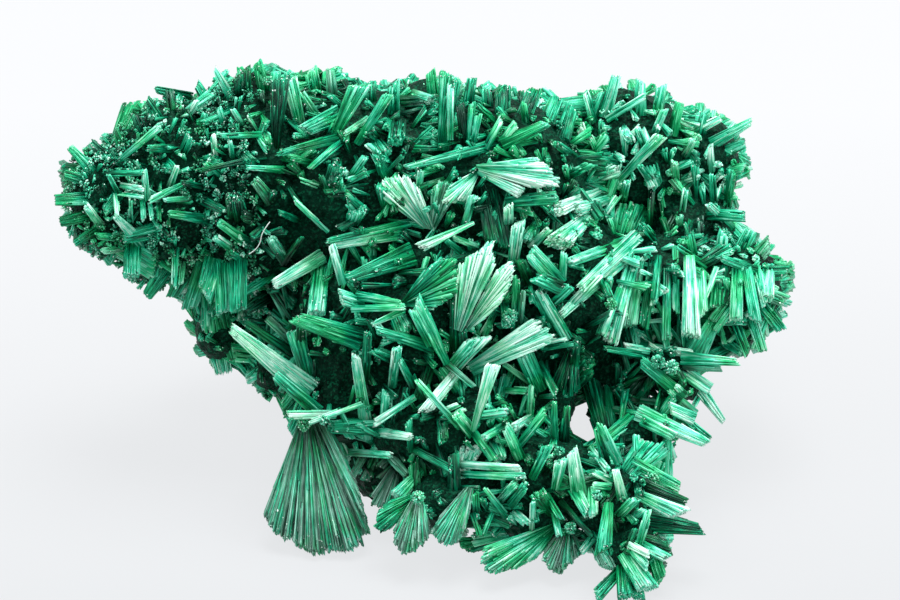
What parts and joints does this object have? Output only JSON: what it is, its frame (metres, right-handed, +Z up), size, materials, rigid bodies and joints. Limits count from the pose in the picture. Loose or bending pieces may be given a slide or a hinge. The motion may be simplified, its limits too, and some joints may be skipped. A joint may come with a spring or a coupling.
{
  "type": "malachite crystal cluster",
  "caption": "Natural cluster of fibrous green crystal sheaves and hanging fans grown together on a lumpy core, cut flat underneath where it broke off.",
  "frame": {"origin": "on the flat broken face the specimen rests on, near the middle of its larger patch", "axes": "+X to the right of the show side, along the longest extent; +Y away from the show side; +Z up"},
  "size_m": [0.0378, 0.0285, 0.0207],
  "materials": {
    "silky_malachite": "silky fibrous copper carbonate, semi-gloss along the fibres"
  },
  "bodies": {
    "root": {"malachite": "silky_malachite"}
  },
  "joints": []
}
